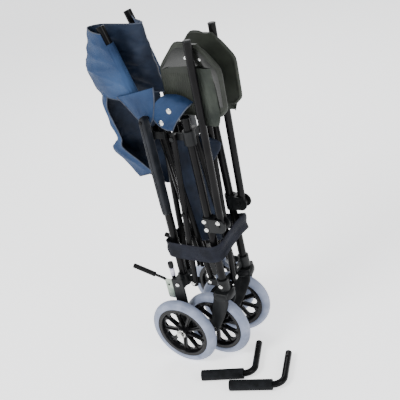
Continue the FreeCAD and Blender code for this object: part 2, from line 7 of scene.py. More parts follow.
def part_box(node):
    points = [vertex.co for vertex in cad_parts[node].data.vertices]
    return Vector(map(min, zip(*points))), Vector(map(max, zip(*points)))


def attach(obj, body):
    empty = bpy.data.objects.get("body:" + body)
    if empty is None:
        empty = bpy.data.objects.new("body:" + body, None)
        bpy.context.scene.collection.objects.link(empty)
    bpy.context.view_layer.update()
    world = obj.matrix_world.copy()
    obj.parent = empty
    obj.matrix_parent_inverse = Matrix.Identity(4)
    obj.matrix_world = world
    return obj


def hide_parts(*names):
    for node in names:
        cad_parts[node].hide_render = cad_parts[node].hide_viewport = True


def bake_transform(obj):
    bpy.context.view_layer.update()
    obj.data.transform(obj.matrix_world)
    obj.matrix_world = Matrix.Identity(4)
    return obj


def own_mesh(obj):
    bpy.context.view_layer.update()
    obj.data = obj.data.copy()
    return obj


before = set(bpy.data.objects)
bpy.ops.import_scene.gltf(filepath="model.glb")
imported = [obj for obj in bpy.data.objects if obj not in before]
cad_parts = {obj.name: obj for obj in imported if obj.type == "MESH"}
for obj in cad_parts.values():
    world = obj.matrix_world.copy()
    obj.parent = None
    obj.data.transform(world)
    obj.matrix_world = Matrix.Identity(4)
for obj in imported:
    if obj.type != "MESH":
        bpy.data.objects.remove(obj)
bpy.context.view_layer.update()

# ---- Setting out ---------------------------------------------------------------------------
# Every place below is in a chair frame in metres: x forward from the rear posts, y to the
# sitter's left from the mid-plane, z up from the floor. `here` moves it into the frame.
leg_low, leg_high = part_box("front_leg_right")
left_low, left_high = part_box("front_leg_left")
leg_x, upright_y = 0.128, 0.060
mid_y = (leg_low.y + leg_high.y + left_low.y + left_high.y) / 4
origin = np.array([(leg_low.x + leg_high.x) / 2 - leg_x, mid_y, 0.0])


def here(points):
    """Chair-frame points moved into the frame: each point plus the origin."""
    return np.asarray(points, float) + origin


# ---- Camera, pale floor and soft studio light ----------------------------------------------
# The camera looks down on the chair's right front side and is rolled, so uprights lean left.
azimuth, elevation, roll = math.radians(36.7), math.radians(27.6), math.radians(-13.2)
distance, focal_px = 2.359, 859.0
slide_right, slide_up = 0.0057, -0.0599
flat_part = math.cos(elevation)
toward = np.array([math.sin(azimuth) * flat_part, -math.cos(azimuth) * flat_part, math.sin(elevation)])
level = np.array([math.cos(azimuth), math.sin(azimuth), 0.0])
plumb = np.cross(toward, level)
right_way = math.cos(roll) * level + math.sin(roll) * plumb
up_way = math.cos(roll) * plumb - math.sin(roll) * level
aim = here([0.06, 0.0, 0.40])
spot = aim + distance * toward - slide_right * right_way - slide_up * up_way
cam_data = bpy.data.cameras.new("camera")
cam_data.sensor_width = 36.0
cam_data.lens = focal_px * 36.0 / 400.0
camera = bpy.data.objects.new("camera", cam_data)
turn = np.eye(4)
turn[:3, 0], turn[:3, 1], turn[:3, 2], turn[:3, 3] = right_way, up_way, toward, spot
camera.matrix_world = Matrix(turn.tolist())
bpy.context.scene.collection.objects.link(camera)
bpy.context.scene.camera = camera

floor_mesh = bpy.data.meshes.new("floor")
far = 60.0
corners = [(-far, -far, 0), (far, -far, 0), (far, far, 0), (-far, far, 0)]
floor_mesh.from_pydata(corners, [], [(0, 1, 2, 3)])
floor = bpy.data.objects.new("floor", floor_mesh)
bpy.context.scene.collection.objects.link(floor)
floor_paint = bpy.data.materials.new("floor")
floor_paint.use_nodes = True
floor_look = floor_paint.node_tree.nodes["Principled BSDF"].inputs
floor_look["Base Color"].default_value = (1.0, 1.0, 1.0, 1)
floor_look["Roughness"].default_value = 0.9
floor_look["Emission Color"].default_value = (1, 1, 1, 1)
floor_look["Emission Strength"].default_value = 1.2
floor.data.materials.append(floor_paint)
world = bpy.data.worlds.new("studio")
bpy.context.scene.world = world
world.use_nodes = True
world.node_tree.nodes["Background"].inputs["Color"].default_value = (0.95, 0.97, 1.0, 1)
world.node_tree.nodes["Background"].inputs["Strength"].default_value = 0.7
for name, place, size, power in (("key", (-0.9, -2.2, 2.6), 1.1, 80), ("fill", (2.4, -0.6, 1.6), 1.0, 24),
                                 ("rim", (-1.2, 2.0, 2.2), 1.4, 26)):
    lamp = bpy.data.lights.new(name, "AREA")
    lamp.size, lamp.energy = size, power
    lamp_object = bpy.data.objects.new(name, lamp)
    lamp_object.location = place
    lamp_object.rotation_euler = (Vector((0, 0, 0.45)) - Vector(place)).to_track_quat("-Z", "Y").to_euler()
    bpy.context.scene.collection.objects.link(lamp_object)

# ---- Painted steel tubes and bars ----------------------------------------------------------
# Gloss black enamel over drawn steel tube, as bought from the tube mill: a faint orange-peel
# skin, dust that dulls the gloss in patches, and slightly browner paint where it is rubbed.


class Finish:
    """A Principled material whose patterns read Object coordinates, built up node by node."""

    def __init__(self, name, colour, roughness=0.5, metallic=0.0, **sockets):
        self.material = bpy.data.materials.new(name)
        self.material.use_nodes = True
        self.tree = self.material.node_tree
        self.shader = self.tree.nodes["Principled BSDF"]
        self.shader.inputs["Base Color"].default_value = (*colour, 1)
        self.shader.inputs["Roughness"].default_value = roughness
        self.shader.inputs["Metallic"].default_value = metallic
        for socket, value in sockets.items():
            self.shader.inputs[socket.replace("_", " ")].default_value = value
        self.place = self.tree.nodes.new("ShaderNodeTexCoord").outputs["Object"]
        self.height = None

    def link(self, a, b):
        """Join an output socket to an input socket."""
        self.tree.links.new(a, b)

    def noise(self, scale, detail=4.0):
        """Fractal noise of about `scale` blotches a metre."""
        node = self.tree.nodes.new("ShaderNodeTexNoise")
        node.inputs["Scale"].default_value = scale
        node.inputs["Detail"].default_value = detail
        self.link(self.place, node.inputs["Vector"])
        return node.outputs["Fac"]

    def wave(self, scale, direction="X"):
        """Straight sine bands along one axis."""
        node = self.tree.nodes.new("ShaderNodeTexWave")
        node.bands_direction = direction
        node.inputs["Scale"].default_value = scale
        self.link(self.place, node.inputs["Vector"])
        return node.outputs["Fac"]

    def maths(self, operation, a, b):
        """One arithmetic step on two sockets or numbers."""
        node = self.tree.nodes.new("ShaderNodeMath")
        node.operation = operation
        for socket, value in zip(node.inputs, (a, b)):
            if isinstance(value, (int, float)):
                socket.default_value = value
            else:
                self.link(value, socket)
        return node.outputs[0]

    def ramp(self, fac, low, high, start=0.3, stop=0.7):
        """A colour that goes from low to high as fac goes from start to stop."""
        node = self.tree.nodes.new("ShaderNodeValToRGB")
        node.color_ramp.elements[0].position, node.color_ramp.elements[1].position = start, stop
        node.color_ramp.elements[0].color = (*low, 1)
        node.color_ramp.elements[1].color = (*high, 1)
        self.link(fac, node.inputs["Fac"])
        return node.outputs["Color"]

    def colour(self, output):
        """Send a colour to the base colour."""
        self.link(output, self.shader.inputs["Base Color"])

    def mottled_colour(self, fac, low, high, start=0.3, stop=0.7):
        """Base colour running from low to high with a pattern."""
        self.colour(self.ramp(fac, low, high, start, stop))

    def rough(self, fac, low, high):
        """Roughness running from low to high with a pattern."""
        node = self.tree.nodes.new("ShaderNodeMapRange")
        node.inputs["To Min"].default_value, node.inputs["To Max"].default_value = low, high
        self.link(fac, node.inputs["Value"])
        self.link(node.outputs["Result"], self.shader.inputs["Roughness"])

    def bump(self, fac, depth, strength=1.0):
        """Relief of `depth` metres from a pattern, laid over any relief before it."""
        node = self.tree.nodes.new("ShaderNodeBump")
        node.inputs["Distance"].default_value = depth
        node.inputs["Strength"].default_value = strength
        self.link(fac, node.inputs["Height"])
        if self.height:
            self.link(self.height, node.inputs["Normal"])
        self.height = node.outputs["Normal"]
        self.link(self.height, self.shader.inputs["Normal"])


enamel = Finish("black_enamel", (0.006, 0.006, 0.007), 0.2, Specular_IOR_Level=0.09)
dust = enamel.noise(18.0, 6.0)
enamel.mottled_colour(dust, (0.0025, 0.0025, 0.003), (0.009, 0.0088, 0.009), 0.35, 0.8)
enamel.rough(dust, 0.12, 0.34)
enamel.bump(enamel.noise(900.0, 2.0), 0.00006, 0.35)


def dress(finish, *names):
    """Give CAD nodes a finish and keep their shape as it is."""
    for name in names:
        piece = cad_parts[name]
        piece.data.materials.clear()
        piece.data.materials.append(finish.material)


sides = (("right", -1), ("left", 1))
for side, s in sides:
    dress(enamel, "rear_post_" + side, "front_leg_" + side, "side_bar_a_" + side, "side_bar_b_" + side,
          "footrest_hanger_" + side, "seat_rail_" + side, "push_handle_%s_tube" % side)
dress(enamel, "front_bar_up_left", "front_bar_up_right", "back_bar_up_left", "back_bar_up_right")

# ---- Moulded hubs, collars, brackets and forks ---------------------------------------------
# Glass-filled nylon in black, from a spark-eroded mould: a fine even texture, satin where it
# is handled, with a grey bloom in the hollows.
nylon = Finish("black_nylon", (0.008, 0.008, 0.009), 0.36, Specular_IOR_Level=0.16)
bloom = nylon.noise(26.0, 5.0)
nylon.mottled_colour(bloom, (0.004, 0.0045, 0.005), (0.014, 0.015, 0.016), 0.35, 0.85)
nylon.rough(bloom, 0.28, 0.55)
nylon.bump(nylon.noise(1400.0, 3.0), 0.00010, 0.5)
for side, s in sides:
    dress(nylon, "rear_hub_" + side, "front_hub_" + side, "rear_slider_" + side, "front_slider_" + side,
          "footrest_bracket_" + side)

# ---- Wheels: tyres -------------------------------------------------------------------------
# Solid grey PU tyres stretched over the rim, pale blue-grey, with two shallow grooves beside a flat tread,
# and street dirt rubbed into the shoulders.
wheel_r, tyre_half, seat_r = 0.1015, 0.015, 0.080
rubber = Finish("grey_tyre", (0.36, 0.40, 0.50), 0.48, Specular_IOR_Level=0.4)
grime = rubber.noise(34.0, 8.0)
rubber.mottled_colour(grime, (0.165, 0.195, 0.28), (0.28, 0.315, 0.42), 0.3, 0.72)
rubber.rough(grime, 0.36, 0.62)
rubber.bump(rubber.noise(700.0, 3.0), 0.00012, 0.4)
section = np.linspace(-1, 1, 41)
swell = np.sqrt(np.clip(1 - np.abs(section) ** 2.6, 0, 1))
crown = seat_r + 0.0025 + (wheel_r - seat_r - 0.0025) * swell
groove = 0.0009 * (np.exp(-((np.abs(section) - 0.42) / 0.035) ** 2))
tread = np.stack([crown - groove, tyre_half * section], 1)
lip = [(seat_r, tyre_half * 0.86), (seat_r - 0.001, tyre_half * 0.5),
       (seat_r - 0.001, -tyre_half * 0.5), (seat_r, -tyre_half * 0.86)]
left_turn = math.radians(15)


def shape(name, points, faces, finish, smooth=True):
    """A mesh from points and faces in one finish."""
    mesh = bpy.data.meshes.new(name)
    mesh.from_pydata(np.asarray(points).tolist(), [], [list(map(int, f)) for f in faces])
    mesh.validate()
    mesh.update()
    if smooth:
        mesh.shade_smooth()
    piece = bpy.data.objects.new(name, mesh)
    bpy.context.scene.collection.objects.link(piece)
    piece.data.materials.append(finish.material)
    return piece


def surface(name, grid, finish, close_u=False, close_v=False, smooth=True):
    """A mesh from a (u, v, 3) array of points: quads between neighbours, joined round where
    close_u or close_v says so."""
    count_u, count_v = grid.shape[:2]
    index = np.arange(count_u * count_v).reshape(count_u, count_v)
    if close_u:
        index = np.concatenate([index, index[:1]], 0)
    if close_v:
        index = np.concatenate([index, index[:, :1]], 1)
    quads = np.stack([index[:-1, :-1], index[1:, :-1], index[1:, 1:], index[:-1, 1:]], -1).reshape(-1, 4)
    return shape(name, grid.reshape(-1, 3), quads, finish, smooth)


def closed_lathe(name, profile, centre, axis, finish, steps=96):
    """A looped (radius, along) profile turned about an axis: centre plus along times the axis
    plus radius times the cosine and sine of the angle in the two cross-ways."""
    profile = np.asarray(profile, float)
    side_way = np.cross(axis, [0.0, 0.0, 1.0] if abs(axis[2]) < 0.9 else [1.0, 0.0, 0.0])
    other = np.cross(axis, side_way)
    angle = np.linspace(0, 2 * np.pi, steps, endpoint=False)
    ring = np.cos(angle)[:, None] * side_way + np.sin(angle)[:, None] * other
    grid = centre + profile[None, :, 1:] * axis + profile[None, :, :1] * ring[:, None, :]
    return surface(name, grid[:, ::-1], finish, close_u=True, close_v=True)


def wheel_places():
    """Yields side, sign, kind, centre and axle direction for the four wheels: the middle of the
    CAD rim's box, and the sideways axis turned with the left caster."""
    for side, s in sides:
        for kind in ("rear", "caster"):
            low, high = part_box("%s_rim_%s" % (kind, side))
            centre = (np.array(low) + np.array(high)) / 2
            swing = left_turn if (kind == "caster" and s > 0) else 0.0
            yield side, s, kind, centre, np.array([-math.sin(swing), math.cos(swing), 0.0])


for side, s, kind, centre, axle in wheel_places():
    tyre = closed_lathe("tyre_%s_%s" % (kind, side), np.concatenate([tread, lip]), centre, axle, rubber)
    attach(tyre, ("rear_wheel_" if kind == "rear" else "caster_wheel_") + side)
    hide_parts("%s_tyre_%s" % (kind, side))

# ---- Wheels: rims --------------------------------------------------------------------------
# One-piece gloss black nylon rims: a hub, nine broad ribs with drop-shaped windows between
# them, and a raised fillet round the well. The fillets and rib spines are laid on the CAD rim.
gloss = Finish("gloss_rim", (0.005, 0.005, 0.006), 0.16, Specular_IOR_Level=0.2)
sheen = gloss.noise(30.0, 5.0)
gloss.mottled_colour(sheen, (0.003, 0.003, 0.0035), (0.009, 0.009, 0.010), 0.35, 0.8)
gloss.rough(sheen, 0.10, 0.30)
bright = Finish("bright_steel", (0.72, 0.72, 0.70), 0.22, metallic=1.0)
scuff = bright.noise(120.0, 4.0)
bright.rough(scuff, 0.14, 0.36)
bright.mottled_colour(scuff, (0.55, 0.55, 0.53), (0.80, 0.80, 0.78))
rib_count, hub_r, web_half = 9, 0.015, 0.0035


def carried(name, path, radius, finish, steps=20, flat=1.0):
    """A round section carried along a path: each ring is the point plus radius times the cosine
    of one cross-way and the sine of the other; flat stretches the second way into an oval."""
    path = np.asarray(path, float)
    tangent = np.gradient(path, axis=0)
    tangent /= np.linalg.norm(tangent, axis=1)[:, None]
    normal = np.zeros_like(path)
    start = np.cross(tangent[0], [0.0, 0.0, 1.0] if abs(tangent[0, 2]) < 0.9 else [1.0, 0.0, 0.0])
    normal[0] = start / np.linalg.norm(start)
    for i in range(1, len(path)):
        step = normal[i - 1] - tangent[i] * normal[i - 1].dot(tangent[i])
        normal[i] = step / np.linalg.norm(step)
    other = np.cross(tangent, normal)
    angle = np.linspace(0, 2 * np.pi, steps, endpoint=False)
    radius = np.broadcast_to(np.asarray(radius, float), len(path))[:, None, None]
    ring = (np.cos(angle)[None, :, None] * normal[:, None]
            + flat * np.sin(angle)[None, :, None] * other[:, None])
    grid = path[:, None] + radius * ring
    count = len(path)
    index = np.arange(count * steps).reshape(count, steps)
    wrap = np.concatenate([index, index[:, :1]], 1)
    quads = np.stack([wrap[:-1, :-1], wrap[:-1, 1:], wrap[1:, 1:], wrap[1:, :-1]], -1).reshape(-1, 4)
    faces = [list(q) for q in quads] + [list(index[0])[::-1], list(index[-1])]
    return shape(name, grid.reshape(-1, 3), faces, finish)


for side, s, kind, centre, axle in wheel_places():
    body = ("rear_wheel_" if kind == "rear" else "caster_wheel_") + side
    dress(gloss, "%s_rim_%s" % (kind, side))
    radial = np.cross(axle, [0.0, 0.0, 1.0])
    upward = np.array([0.0, 0.0, 1.0])
    for face in (-1, 1):
        spines = []
        for i in range(rib_count):
            angle = 2 * math.pi * (i + 0.5) / rib_count
            way = math.cos(angle) * radial + math.sin(angle) * upward
            t = np.linspace(hub_r - 0.001, 0.068, 12)
            lift = web_half + 0.0004 + 0.0010 * np.cos((t - 0.04) / 0.03)
            path = centre + t[:, None] * way + face * lift[:, None] * axle
            spines.append(carried("rib_%d" % i, path, np.linspace(0.0035, 0.0022, 12), gloss, 10))
        profile = np.array([(0.0685, 0.0), (0.0700, 0.0022), (0.0722, 0.0030), (0.0740, 0.0008),
                            (0.0740, -0.004), (0.0690, -0.004)])
        profile[:, 1] = face * (profile[:, 1] + 0.0105)
        hoop_piece = closed_lathe("hoop", profile[::face], centre, axle, gloss, 72)
        spines.append(hoop_piece)
        bpy.ops.object.select_all(action="DESELECT")
        for piece in spines:
            piece.select_set(True)
        bpy.context.view_layer.objects.active = hoop_piece
        bpy.ops.object.join()
        hoop_piece.name = "rim_ribs_%s_%s_%s" % (kind, side, "outer" if face * s > 0 else "inner")
        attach(hoop_piece, body)

# ---- Caster forks --------------------------------------------------------------------------
# Heavy moulded nylon forks: a domed shoulder fairs the stem into two thick swept arms that
# narrow to bosses at the axle. The left one is turned a little on its stem.


def swivelled(points, side):
    """Chair-frame points made with the caster straight, turned about the stem on the left."""
    points = np.asarray(points, float).copy()
    if side == "left":
        c, n = math.cos(left_turn), math.sin(left_turn)
        x, y = points[..., 0] - leg_x, points[..., 1] - upright_y
        points[..., 0], points[..., 1] = leg_x + c * x - n * y, upright_y + n * x + c * y
    return points


# the shoulder is a stack of superellipses: (height, centre x, half length, half width)
shoulder = np.array([(0.2268, 0.1270, 0.001, 0.001), (0.2266, 0.1270, 0.0150, 0.0150),
                     (0.2252, 0.1265, 0.0200, 0.0205), (0.2215, 0.1255, 0.0250, 0.0250),
                     (0.2160, 0.1245, 0.0278, 0.0272), (0.2100, 0.1235, 0.0288, 0.0280),
                     (0.2055, 0.1230, 0.0284, 0.0277), (0.2046, 0.1230, 0.0265, 0.0262),
                     (0.2045, 0.1230, 0.001, 0.001)])
# the arms: a (forward, height) centre line, how far off the wheel they run, and their half
# thickness at shares of the way down
sweep = np.array([(0.1290, 0.2120), (0.1245, 0.1960), (0.1170, 0.1760), (0.1050, 0.1500),
                  (0.0920, 0.1250), (0.0780, 0.1015), (0.0740, 0.0950)])
arm_off, arm_oval = 0.0213, 3.6
arm_share, arm_stout = [0, 0.12, 0.5, 0.85, 0.96, 1.0], [0.0050, 0.0056, 0.0048, 0.0040, 0.0032, 0.0010]
t_in, t_out = np.linspace(0, 1, 7), np.linspace(0, 1, 30)
stout = np.interp(t_out, arm_share, arm_stout)
around = np.linspace(0, 2 * np.pi, 48, endpoint=False)
blunt_x = np.sign(np.cos(around)) * np.abs(np.cos(around)) ** 0.75
blunt_y = np.sign(np.sin(around)) * np.abs(np.sin(around)) ** 0.75
for side, s in sides:
    dress(nylon, "caster_fork_" + side)
    z, cx, a, b = (shoulder[:, k][:, None] for k in range(4))
    grid = np.stack([cx + a * blunt_x, s * upright_y + b * blunt_y, z + 0 * blunt_x], -1)
    top = surface("fork_shoulder_" + side, here(swivelled(grid, side)), nylon, close_v=True)
    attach(top, "caster_" + side)
    for label, way in (("inner", -s), ("outer", s)):
        path = np.stack([np.interp(t_out, t_in, sweep[:, 0]),
                         np.full(30, s * upright_y + way * arm_off),
                         np.interp(t_out, t_in, sweep[:, 1])], 1)
        arm = carried("fork_arm_%s_%s" % (label, side), here(swivelled(path, side)), stout, nylon,
                      24, flat=arm_oval)
        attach(arm, "caster_" + side)

# ---- Bolts, axles and rivets ---------------------------------------------------------------
# Zinc-plated bolts with domed heads, pressed flush to the hubs and the footrest brackets.
for side, s in sides:
    dress(bright, "rear_bolts_" + side, "front_bolts_" + side, "caster_axle_" + side)


def lathe(name, profile, centre, axis, finish, steps=72, smooth=True):
    """A profile of (radius, along) points turned about an axis: centre plus along times the axis
    plus radius times the cosine and sine of the angle in the two cross-ways. Both ends are
    closed with a flat face."""
    profile = np.asarray(profile, float)
    axis = np.asarray(axis, float) / np.linalg.norm(axis)
    side_way = np.cross(axis, [0.0, 0.0, 1.0] if abs(axis[2]) < 0.9 else [1.0, 0.0, 0.0])
    side_way /= np.linalg.norm(side_way)
    other = np.cross(axis, side_way)
    angle = np.linspace(0, 2 * np.pi, steps, endpoint=False)
    ring = np.cos(angle)[:, None] * side_way + np.sin(angle)[:, None] * other
    grid = centre + profile[None, :, 1:] * axis + profile[None, :, :1] * ring[:, None, :]
    count = len(profile)
    index = np.arange(steps * count).reshape(steps, count)
    index = np.concatenate([index, index[:1]], 0)
    quads = np.stack([index[:-1, :-1], index[:-1, 1:], index[1:, 1:], index[1:, :-1]], -1).reshape(-1, 4)
    faces = [list(q) for q in quads]
    for end in (0, count - 1):
        if profile[end, 0] > 0:
            cap = list(index[:-1, end])
            faces.append(cap if end == 0 else cap[::-1])
    return shape(name, grid.reshape(-1, 3), faces, finish, smooth)


def dome(name, centre, axis, radius, height, body, finish=bright):
    """A domed bolt head: a quarter-ellipse profile turned about the bolt."""
    bend = np.linspace(np.pi / 2, 0.02, 7)
    crown_line = np.stack([radius * np.sin(bend), height * (0.25 + 0.75 * np.cos(bend))], 1)
    profile = np.concatenate([[(radius, 0.0)], crown_line])
    piece = lathe(name, profile, centre, axis, finish, 28)
    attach(piece, body)
    return piece


pivot_z, bracket_z, bracket_face = 0.245, 0.440, 0.0742
# (place, forward, distance from the mid-plane, body)
hub_bolts = (("post", 0.0, 0.098, "rear_"), ("back", 0.0425, 0.0816, "rear_"),
             ("front", 0.0855, 0.0617, "front_"), ("leg", leg_x, 0.0765, "front_"))
for side, s in sides:
    for label, x, out, body in hub_bolts:
        dome("hub_bolt_%s_%s" % (label, side), here([x, s * out, pivot_z]), [0, s, 0],
             0.0062, 0.0035, body + side)
    for i, (dx, dz) in enumerate(((-0.006, 0.012), (0.036, 0.012), (-0.004, -0.013))):
        dome("bracket_bolt_%d_%s" % (i, side), here([leg_x + dx, s * bracket_face, bracket_z + dz]),
             [0, s, 0], 0.0066, 0.0040, "front_" + side)

# ---- Brakes --------------------------------------------------------------------------------
# A pressed, yellow-green zinc-plated plate on each axle plate and a bent rod with a long
# ribbed rubber grip, pushed down to lock.
zinc = Finish("zinc_plate", (0.60, 0.66, 0.56), 0.3, metallic=0.85)
bloomed = zinc.noise(60.0, 6.0)
zinc.mottled_colour(bloomed, (0.16, 0.21, 0.17), (0.42, 0.47, 0.40))
zinc.rough(bloomed, 0.22, 0.5)
soft_rubber = Finish("soft_rubber", (0.004, 0.004, 0.0045), 0.6, Specular_IOR_Level=0.15)
soft_rubber.bump(soft_rubber.wave(260.0, "X"), 0.0004, 0.6)
soft_rubber.rough(soft_rubber.noise(80.0), 0.5, 0.75)
for side, s in sides:
    dress(zinc, "brake_plate_" + side)
    dress(enamel, "brake_lever_" + side)
    dress(soft_rubber, "brake_grip_" + side)

# ---- Push handles --------------------------------------------------------------------------
# Bent tube with a closed-cell foam sleeve: charcoal, pitted, with a soft rounded end.
foam = Finish("foam_grip", (0.008, 0.008, 0.009), 0.85, Specular_IOR_Level=0.15)
cells = foam.noise(420.0, 6.0)
foam.mottled_colour(foam.noise(60.0, 5.0), (0.003, 0.0035, 0.004), (0.010, 0.011, 0.013))
foam.bump(cells, 0.0007, 0.7)
for side, s in sides:
    dress(foam, "push_handle_%s_grip" % side)

# ---- Back upholstery -----------------------------------------------------------------------
# One piece of coated blue nylon with a hemmed sleeve down each cane. With the chair folded the
# width between the canes has nowhere to go, so it stands out behind and in front in two lobes.
cloth = Finish("blue_nylon", (0.06, 0.10, 0.19), 0.55, Specular_IOR_Level=0.16)
tone = cloth.noise(9.0, 6.0)
cloth.mottled_colour(tone, (0.006, 0.018, 0.052), (0.030, 0.066, 0.150), 0.3, 0.75)
cloth.rough(cloth.noise(40.0, 4.0), 0.42, 0.68)
cloth.bump(cloth.maths("ADD", cloth.wave(420.0, "X"), cloth.wave(420.0, "Z")), 0.00018, 0.5)
cloth.bump(cloth.noise(16.0, 8.0), 0.0045, 0.75)
# The coated back of every cloth piece: a dark navy that is partly the coating's own colour and partly
# painted shade for back faces that lie in shade, as in the rear pouch and the seat sling.
shade_lining = Finish("navy_coating_painted_shade", (0.022, 0.032, 0.060), 0.5, Specular_IOR_Level=0.2)
shade_lining.mottled_colour(shade_lining.noise(20.0, 6.0), (0.004, 0.007, 0.016), (0.014, 0.024, 0.048))
shade_lining.bump(shade_lining.maths("ADD", shade_lining.wave(420.0, "X"), shade_lining.wave(420.0, "Z")), 0.00015, 0.4)
shade_lining.bump(shade_lining.noise(22.0, 8.0), 0.0038, 0.7)
thread = Finish("navy_hem", (0.02, 0.028, 0.05), 0.6)
thread.mottled_colour(thread.noise(90.0, 4.0), (0.010, 0.015, 0.03), (0.05, 0.065, 0.10))
thread.bump(thread.wave(500.0, "DIAGONAL"), 0.0003, 0.6)


def eased(rows, count):
    """Catmull-Rom through the first axis of an array: each span is the cubic whose slopes are
    half the difference of the neighbours on either side."""
    rows = np.asarray(rows, float)
    padded_rows = np.concatenate([2 * rows[:1] - rows[1:2], rows, 2 * rows[-1:] - rows[-2:-1]])
    t = np.linspace(0, len(rows) - 1, count)
    i = np.minimum(t.astype(int), len(rows) - 2)
    f = (t - i).reshape((-1,) + (1,) * (rows.ndim - 1))
    a, b, c, e = (padded_rows[i + k] for k in range(4))
    return 0.5 * (2 * b + (c - a) * f + (2 * a - 5 * b + 4 * c - e) * f ** 2
                  + (3 * b - a - 3 * c + e) * f ** 3)


def draped(net, across, down, crease=0.0, seed=1):
    """A cloth grid through a net of given points, smooth both ways, with creases: the sum of a few slanted,
    bowed waves with sharp ridges, pushed out along the cloth's own normals and fading at its edges."""
    grid = eased(np.swapaxes(eased(net, across), 0, 1), down)
    grid = np.swapaxes(grid, 0, 1)
    if crease:
        draw = np.random.default_rng(seed)
        u, v = np.meshgrid(np.linspace(0, 1, across), np.linspace(0, 1, down), indexing="ij")
        height = np.zeros_like(u)
        for k in range(7):
            slope, pitch, phase = draw.uniform(-1.2, 1.2), draw.uniform(1.2, 4.5), draw.uniform(0, 6.3)
            bow = 0.25 * np.sin(3 * v + phase)
            fold = np.abs(np.sin(pitch * (u + slope * v + bow) * np.pi + phase))
            height += (1 - 2 * fold ** 0.7) / (2.0 + k)
        along, below = np.gradient(grid, axis=0), np.gradient(grid, axis=1)
        normal = np.cross(along, below)
        normal /= np.linalg.norm(normal, axis=2)[..., None] + 1e-12
        fade = np.sqrt(np.sin(np.pi * u) * np.sin(np.pi * np.clip(v, 0.02, 0.98)))
        grid = grid + (crease * height * fade)[..., None] * normal
    return grid


def sewn(name, grid, finish=cloth, back=shade_lining, thick=0.0011):
    """A cloth mesh on a grid of chair-frame points: its near face takes one finish and its coated back the
    other, a dark navy that is partly painted shade, with a thin wall between them."""
    piece = surface(name, here(grid), finish)
    piece.data.materials.append(back.material)
    wall = piece.modifiers.new("wall", "SOLIDIFY")
    wall.thickness, wall.offset, wall.material_offset, wall.use_even_offset = thick, 0.0, 1, False
    bpy.context.view_layer.objects.active = piece
    for other in bpy.context.selected_objects:
        other.select_set(False)
    piece.select_set(True)
    bpy.ops.object.modifier_apply(modifier="wall")
    return piece


def hem(name, line, radius=0.0016, count=60):
    """A rolled hem: a small round section carried along an edge of the cloth."""
    piece = carried(name, here(eased(line, count)), radius, thread, 8)
    return piece


def across_chair(piece):
    """Bake the cloth's placement into its own mesh points."""
    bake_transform(piece)


bend_z, cane_lean, cane_r = 0.765, math.radians(16), 0.011


def cane_x(z):
    """How far forward a cane's middle is: nothing below the bend, then back by the height above
    it times the tangent of the lean."""
    return -math.tan(cane_lean) * np.maximum(np.asarray(z, float) - bend_z, 0.0)


# (height, rear lobe depth, front lobe reach) down the panel, from its top hem
levels = ((0.974, 0.058, 0.068), (0.930, 0.088, 0.058), (0.890, 0.116, 0.050),
          (0.856, 0.134, 0.044), (0.822, 0.133, 0.044), (0.792, 0.122, 0.050))
net = []
for z, rear, reach in levels:
    x = float(cane_x(z))
    net.append([(x + 0.004, -0.0735, z - 0.004), (x - 0.014, -0.0745, z),
                (x - rear * 0.60, -0.066, z + 0.002), (x - rear * 0.97, -0.047, z + 0.004),
                (x - rear * 0.99, -0.034, z + 0.004), (x - rear * 0.60, -0.018, z + 0.003),
                (x - 0.010, -0.012, z + 0.001), (x + reach * 0.55, -0.004, z - 0.003),
                (x + reach, 0.008, z - 0.006), (x + reach * 0.94, 0.020, z - 0.006),
                (x + reach * 0.40, 0.040, z - 0.004), (x - 0.006, 0.0715, z), (x - 0.012, 0.0735, z)])
panel = draped(np.swapaxes(np.array(net), 0, 1), 170, 60, 0.0042, 4)
back = sewn("back_panel", panel)
across_chair(back)
for label, row in (("top", 0), ("bottom", -1)):
    edge = hem("back_panel_%s_hem" % label, panel[::6, row])
    across_chair(edge)
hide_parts("back_upholstery")

for side, s in sides:
    z = np.linspace(0.792, 0.940, 26)
    turn = np.linspace(0, 2 * np.pi, 41)
    pucker = 0.0006 * np.sin(9 * turn)[:, None] * np.sin(60 * z)[None, :]
    ring_r = cane_r + 0.0022 + pucker
    fore = np.array([math.cos(cane_lean), 0, math.sin(cane_lean)])
    axis_points = np.stack([cane_x(z), np.full_like(z, s * upright_y), z], 1)
    ring_way = np.cos(turn)[:, None, None] * fore + np.sin(turn)[:, None, None] * np.array([0, 1.0, 0])
    grid = axis_points[None] + ring_r[..., None] * ring_way
    sleeve = sewn("cane_sleeve_" + side, grid, thick=0.0009)
    if side == "left":
        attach(sleeve, "back_sleeve_left")
        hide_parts("back_sleeve_left")
    else:
        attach(sleeve, "rear_right")
    stitch_line = np.stack([cane_x(z) - 0.0125, np.full_like(z, s * 0.0655), z], 1)
    band = carried("sleeve_stitch_" + side, here(stitch_line), 0.0008, thread, 6)
    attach(band, "back_sleeve_left" if side == "left" else "rear_right")

# ---- Rear pouch ----------------------------------------------------------------------------
# The lower half of the back is a separate panel with its own top hem, laced to the rear posts.
# Slack in the folded chair, it hangs out behind as an open-mouthed pouch.

# (height, how far back the fold stands) down the fold, then along the bottom edge
folds = ((0.812, -0.122), (0.768, -0.136), (0.720, -0.128), (0.672, -0.119),
         (0.640, -0.141), (0.600, -0.108), (0.560, -0.072))
